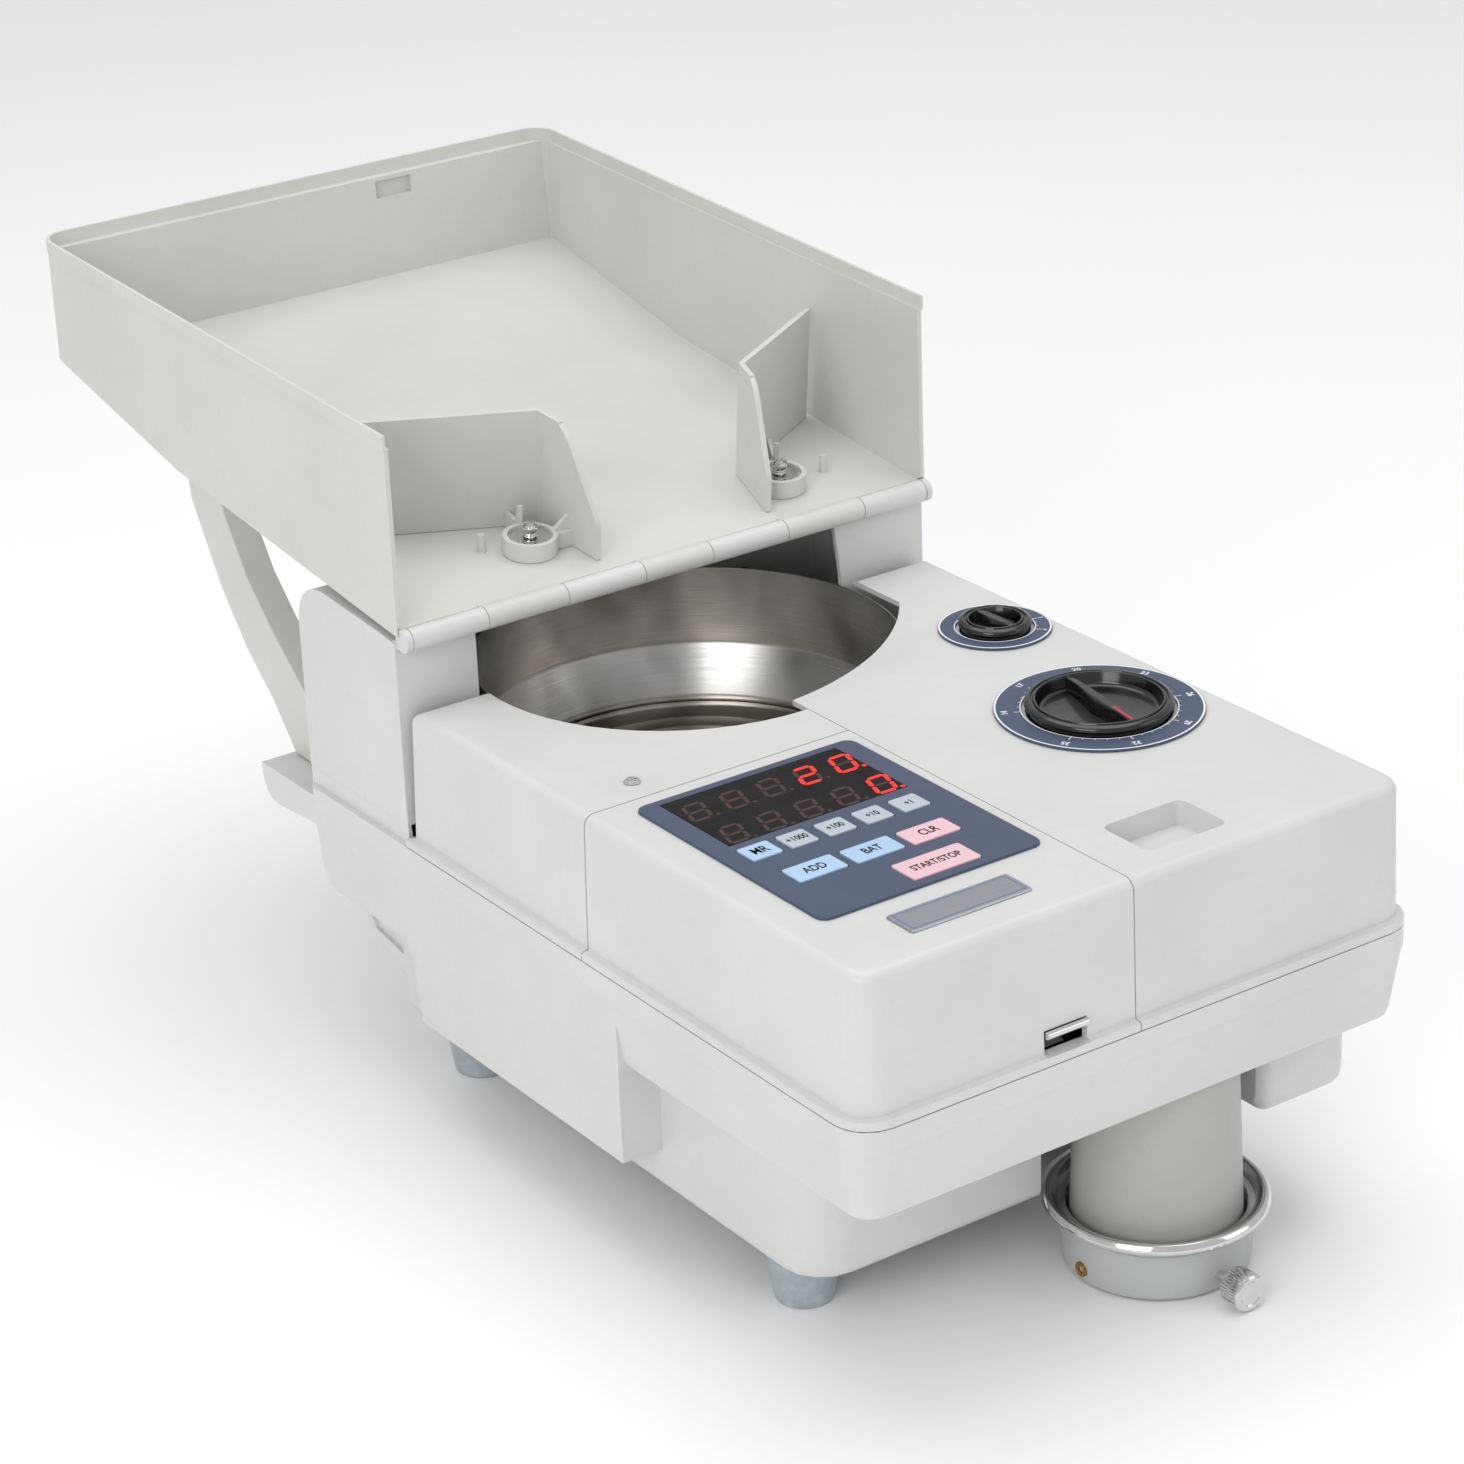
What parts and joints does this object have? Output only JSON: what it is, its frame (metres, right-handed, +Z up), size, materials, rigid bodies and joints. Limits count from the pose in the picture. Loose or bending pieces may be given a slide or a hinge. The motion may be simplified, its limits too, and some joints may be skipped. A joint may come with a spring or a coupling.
{
  "type": "coin sorting machine",
  "caption": "Bench-top coin sorting machine with folding coin tray, round feed bowl, keypad under a hinged cover, setting dials and bag outlet tube",
  "frame": {"origin": "on the table, under the middle of the whole machine's width and depth", "axes": "+X to the operator's right, +Y towards the back, where the coin tray is, +Z up"},
  "size_m": [0.35, 0.804, 0.415],
  "materials": {
    "body_grey": "fine moulded grain, light wear",
    "tray_grey": "smooth moulded, light scratches",
    "collar_grey": "smooth moulded",
    "panel_slate": "satin printed overlay",
    "key_blue": "satin printed",
    "key_grey": "satin printed",
    "key_pink": "satin printed",
    "black_knob": "moulded satin gloss",
    "switch_red": "moulded gloss",
    "foot_rubber": "matte moulded rubber",
    "belt_rubber": "matte rubber",
    "chrome": "polished plating",
    "steel": "brushed sheet",
    "brass": "turned brass",
    "plate_silver": "satin printed foil",
    "motor_paint": "satin enamel",
    "winding": "varnished winding and core",
    "board_green": "solder mask",
    "window_dark": "tinted clear window"
  },
  "bodies": {
    "base": {"base_tub": "body_grey", "bottom_plate": "steel", "foot_front_left": "foot_rubber", "foot_rear_left": "foot_rubber", "foot_front_right": "foot_rubber", "foot_rear_right": "foot_rubber", "bowl_cover": "body_grey", "right_cover": "body_grey", "cover_screw": "chrome", "rear_hood": "body_grey", "hinge_pin": "steel", "power_inlet": "black_knob", "switch_housing": "black_knob", "bowl_drum": "steel", "drive_motor": "motor_paint", "drive_belt": "belt_rubber", "chassis_plate": "steel", "track_plate": "steel", "track_belt": "belt_rubber", "transformer": "winding", "power_board": "board_green", "diameter_scale": "panel_slate", "thickness_scale": "panel_slate", "outlet_tube": "body_grey", "bag_collar": "collar_grey", "bag_ring": "chrome", "collar_insert": "brass"},
    "display_cover": {"display_cover": "body_grey", "keypad_overlay": "panel_slate", "display_window": "window_dark", "name_plate": "plate_silver", "display_board": "board_green"},
    "latch": {"latch_lever": "chrome"},
    "rotor": {"feed_disc": "chrome", "disc_shaft": "steel"},
    "pulley": {"motor_pulley": "steel"},
    "roller_rear": {"track_roller_rear": "steel"},
    "roller_front": {"track_roller_front": "steel"},
    "rail": {"diameter_rail": "steel"},
    "diameter_knob": {"diameter_dial": "black_knob"},
    "thickness_knob": {"thickness_dial": "black_knob"},
    "thumbscrew": {"thumb_screw": "chrome"},
    "rocker": {"switch_rocker": "switch_red"},
    "tray": {"coin_tray": "tray_grey", "guide_screw_left": "chrome", "guide_screw_right": "chrome", "tray_leg_left": "tray_grey", "tray_leg_right": "tray_grey"},
    "left_guide": {"guide_left": "tray_grey"},
    "right_guide": {"guide_right": "tray_grey"},
    "key_recall_cap": {"key_recall": "key_blue"},
    "key_preset_1000_cap": {"key_preset_1000": "key_grey"},
    "key_preset_100_cap": {"key_preset_100": "key_grey"},
    "key_preset_10_cap": {"key_preset_10": "key_grey"},
    "key_preset_1_cap": {"key_preset_1": "key_grey"},
    "key_add_cap": {"key_add": "key_blue"},
    "key_batch_cap": {"key_batch": "key_blue"},
    "key_clear_cap": {"key_clear": "key_pink"},
    "key_start_stop_cap": {"key_start_stop": "key_pink"}
  },
  "joints": [
    {"name": "tray_fold", "type": "hinge", "parent": "base", "child": "tray", "pos_m": [0, 0.014, 0.286], "axis": [1, 0, 0], "range_deg": [0, 110]},
    {"name": "guide_left_swing", "type": "hinge", "parent": "tray", "child": "left_guide", "pos_m": [-0.0625, 0.0588, 0.2998], "axis": [0, 0.1074, -0.9942], "range_deg": [-40, 30]},
    {"name": "guide_right_swing", "type": "hinge", "parent": "tray", "child": "right_guide", "pos_m": [0.097, 0.0514, 0.299], "axis": [0, -0.1074, 0.9942], "range_deg": [-2, 30]},
    {"name": "display_cover_lift", "type": "hinge", "parent": "base", "child": "display_cover", "pos_m": [-0.08, -0.1525, 0.245], "axis": [-1, 0, 0], "range_deg": [0, 50]},
    {"name": "latch_press", "type": "hinge", "parent": "display_cover", "child": "latch", "pos_m": [-0.05, -0.372, 0.183], "axis": [1, 0, 0], "range_deg": [0, 10], "stiffness_Nm_per_rad": 0.15},
    {"name": "key_recall_press", "type": "slide", "parent": "display_cover", "child": "key_recall_cap", "axis": [0, 0, -1], "range_m": [0, 0.0008], "stiffness_N_per_m": 600},
    {"name": "key_preset_1000_press", "type": "slide", "parent": "display_cover", "child": "key_preset_1000_cap", "axis": [0, 0, -1], "range_m": [0, 0.0008], "stiffness_N_per_m": 600},
    {"name": "key_preset_100_press", "type": "slide", "parent": "display_cover", "child": "key_preset_100_cap", "axis": [0, 0, -1], "range_m": [0, 0.0008], "stiffness_N_per_m": 600},
    {"name": "key_preset_10_press", "type": "slide", "parent": "display_cover", "child": "key_preset_10_cap", "axis": [0, 0, -1], "range_m": [0, 0.0008], "stiffness_N_per_m": 600},
    {"name": "key_preset_1_press", "type": "slide", "parent": "display_cover", "child": "key_preset_1_cap", "axis": [0, 0, -1], "range_m": [0, 0.0008], "stiffness_N_per_m": 600},
    {"name": "key_add_press", "type": "slide", "parent": "display_cover", "child": "key_add_cap", "axis": [0, 0, -1], "range_m": [0, 0.0008], "stiffness_N_per_m": 600},
    {"name": "key_batch_press", "type": "slide", "parent": "display_cover", "child": "key_batch_cap", "axis": [0, 0, -1], "range_m": [0, 0.0008], "stiffness_N_per_m": 600},
    {"name": "key_clear_press", "type": "slide", "parent": "display_cover", "child": "key_clear_cap", "axis": [0, 0, -1], "range_m": [0, 0.0008], "stiffness_N_per_m": 600},
    {"name": "key_start_stop_press", "type": "slide", "parent": "display_cover", "child": "key_start_stop_cap", "axis": [0, 0, -1], "range_m": [0, 0.0008], "stiffness_N_per_m": 600},
    {"name": "diameter_dial_turn", "type": "hinge", "parent": "base", "child": "diameter_knob", "pos_m": [0.1078, -0.2127, 0.246], "axis": [0, 0, 1], "range_deg": [-150, 150]},
    {"name": "diameter_rail_slide", "type": "slide", "parent": "base", "child": "rail", "axis": [1, 0, 0], "range_m": [-0.006, 0.006]},
    {"name": "thickness_dial_turn", "type": "hinge", "parent": "base", "child": "thickness_knob", "pos_m": [0.1334, -0.0944, 0.246], "axis": [0, 0, 1], "range_deg": [-150, 150]},
    {"name": "disc_spin", "type": "hinge", "parent": "base", "child": "rotor", "pos_m": [-0.003, 0, 0.16], "axis": [0, 0, 1], "continuous": true},
    {"name": "motor_pulley_spin", "type": "hinge", "parent": "base", "child": "pulley", "pos_m": [0.062, -0.082, 0.1], "axis": [0, 0, 1], "continuous": true},
    {"name": "track_roller_rear_spin", "type": "hinge", "parent": "base", "child": "roller_rear", "pos_m": [-0.075, -0.132, 0.18], "axis": [0, 0, 1], "continuous": true},
    {"name": "track_roller_front_spin", "type": "hinge", "parent": "base", "child": "roller_front", "pos_m": [-0.075, -0.322, 0.18], "axis": [0, 0, 1], "continuous": true},
    {"name": "thumb_screw_turn", "type": "hinge", "parent": "base", "child": "thumbscrew", "pos_m": [0.0478, -0.392, 0.0105], "axis": [0, 1, 0], "continuous": true},
    {"name": "power_switch_rock", "type": "hinge", "parent": "base", "child": "rocker", "pos_m": [0.078, 0.12, 0.208], "axis": [1, 0, 0], "range_deg": [0, 16]}
  ],
  "couplings": [
    {"joint": "motor_pulley_spin", "follows": "disc_spin", "ratio": 3.3846},
    {"joint": "track_roller_rear_spin", "follows": "disc_spin", "ratio": 4},
    {"joint": "track_roller_front_spin", "follows": "disc_spin", "ratio": 4},
    {"joint": "diameter_rail_slide", "follows": "diameter_dial_turn", "m_per_rad": 0.0022}
  ]
}
